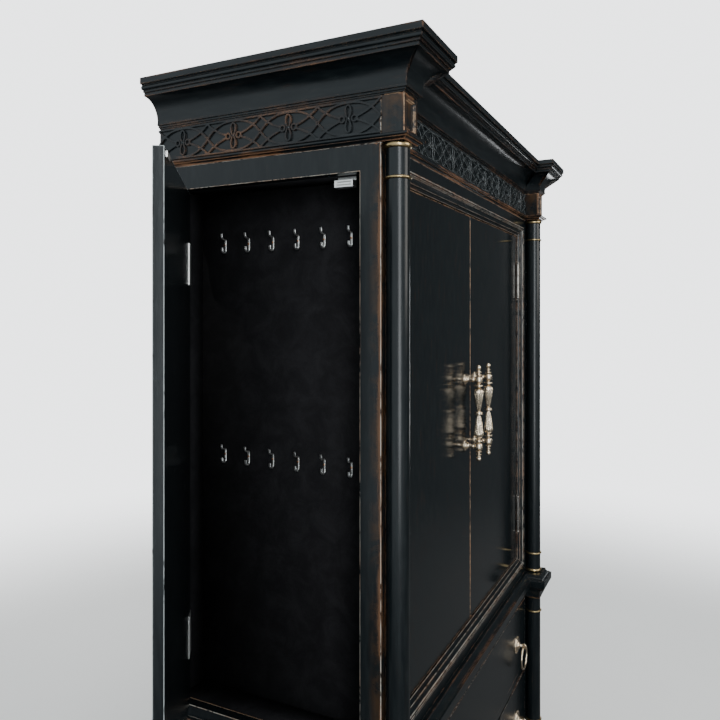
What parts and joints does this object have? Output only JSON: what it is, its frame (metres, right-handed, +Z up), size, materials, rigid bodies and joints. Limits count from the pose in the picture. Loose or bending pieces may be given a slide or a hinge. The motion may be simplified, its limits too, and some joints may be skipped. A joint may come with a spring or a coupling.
{
  "type": "jewelry armoire",
  "caption": "Tall two-door armoire in worn black paint over drawers, with a felt-lined jewelry cupboard with hooks behind a side door.",
  "frame": {"origin": "on the floor under the middle of the case, midway between its corner blocks and its back", "axes": "+Z up, the front doors face -Y, the jewelry cupboard is in the side that faces -X"},
  "size_m": [1.6081, 0.635, 2.05],
  "materials": {
    "worn_ebony_paint": "satin near-black paint rubbed through to brown wood at the edges",
    "case_wood": "clear matt varnish",
    "charcoal_felt": "short charcoal felt",
    "aged_brass": "aged, half polished",
    "nickel": "satin nickel plate",
    "copper_screw": "coppery screw",
    "antique_pewter": "antique pewter with darker hollows"
  },
  "bodies": {
    "case": {"plinth_boards": "worn_ebony_paint", "base_moulding": "worn_ebony_paint", "lower_bottom": "case_wood", "lower_side_frames": "worn_ebony_paint", "side_panels": "worn_ebony_paint", "lower_back": "case_wood", "drawer_face_frame": "worn_ebony_paint", "drawer_runners": "case_wood", "lower_columns": "worn_ebony_paint", "lower_column_rings": "aged_brass", "waist_moulding": "worn_ebony_paint", "cupboard_floor": "case_wood", "left_side_frame": "worn_ebony_paint", "right_side_frame": "worn_ebony_paint", "compartment_wall": "case_wood", "compartment_box": "worn_ebony_paint", "compartment_felt": "charcoal_felt", "compartment_liner": "charcoal_felt", "upper_back": "case_wood", "cupboard_ceiling": "case_wood", "door_face_frame": "worn_ebony_paint", "door_frame_moulding": "worn_ebony_paint", "upper_columns": "worn_ebony_paint", "upper_column_rings": "aged_brass", "frieze_boards": "worn_ebony_paint", "corner_blocks": "worn_ebony_paint", "side_fretwork": "worn_ebony_paint", "front_fretwork": "worn_ebony_paint", "frieze_bead": "worn_ebony_paint", "cornice": "worn_ebony_paint", "top_board": "worn_ebony_paint", "shelves": "case_wood", "shelf_pins": "nickel", "upper_hooks": "nickel", "lower_hooks": "nickel", "hook_screws": "copper_screw", "magnetic_catch": "nickel", "door_catches": "nickel", "side_jamb_hinge_leaves": "nickel", "hinge_pins": "nickel", "door_jamb_hinge_leaves": "nickel"},
    "side_door": {"side_door": "worn_ebony_paint", "side_door_hinge_leaves": "nickel", "catch_strike": "nickel"},
    "left_door": {"left_door": "worn_ebony_paint", "left_door_hinge_leaves": "nickel", "left_pull": "antique_pewter"},
    "right_door": {"right_door": "worn_ebony_paint", "right_door_hinge_leaves": "nickel", "right_pull": "antique_pewter"},
    "upper_drawer": {"upper_drawer_front": "worn_ebony_paint", "upper_drawer_box": "case_wood", "upper_drawer_rosettes": "antique_pewter"},
    "lower_drawer": {"lower_drawer_front": "worn_ebony_paint", "lower_drawer_box": "case_wood", "lower_drawer_rosettes": "antique_pewter"},
    "upper_left_ring": {"upper_left_ring": "antique_pewter"},
    "upper_right_ring": {"upper_right_ring": "antique_pewter"},
    "lower_left_ring": {"lower_left_ring": "antique_pewter"},
    "lower_right_ring": {"lower_right_ring": "antique_pewter"}
  },
  "joints": [
    {"name": "side_door_hinge", "type": "hinge", "parent": "case", "child": "side_door", "pos_m": [-0.6034, 0.2287, 1.2], "axis": [0, 0, -1], "range_deg": [-54.8, 55]},
    {"name": "left_door_hinge", "type": "hinge", "parent": "case", "child": "left_door", "pos_m": [-0.5022, -0.2285, 1.28], "axis": [0, 0, -1], "range_deg": [0, 110]},
    {"name": "right_door_hinge", "type": "hinge", "parent": "case", "child": "right_door", "pos_m": [0.5022, -0.2285, 1.28], "axis": [0, 0, 1], "range_deg": [0, 110]},
    {"name": "upper_drawer_slide", "type": "slide", "parent": "case", "child": "upper_drawer", "axis": [0, -1, 0], "range_m": [0, 0.36]},
    {"name": "lower_drawer_slide", "type": "slide", "parent": "case", "child": "lower_drawer", "axis": [0, -1, 0], "range_m": [0, 0.36]},
    {"name": "upper_left_ring_swing", "type": "hinge", "parent": "upper_drawer", "child": "upper_left_ring", "pos_m": [-0.422, -0.2675, 0.509], "axis": [-1, 0, 0], "range_deg": [-10, 85]},
    {"name": "upper_right_ring_swing", "type": "hinge", "parent": "upper_drawer", "child": "upper_right_ring", "pos_m": [0.422, -0.2675, 0.509], "axis": [-1, 0, 0], "range_deg": [-10, 85]},
    {"name": "lower_left_ring_swing", "type": "hinge", "parent": "lower_drawer", "child": "lower_left_ring", "pos_m": [-0.422, -0.2675, 0.273], "axis": [-1, 0, 0], "range_deg": [-10, 85]},
    {"name": "lower_right_ring_swing", "type": "hinge", "parent": "lower_drawer", "child": "lower_right_ring", "pos_m": [0.422, -0.2675, 0.273], "axis": [-1, 0, 0], "range_deg": [-10, 85]}
  ]
}
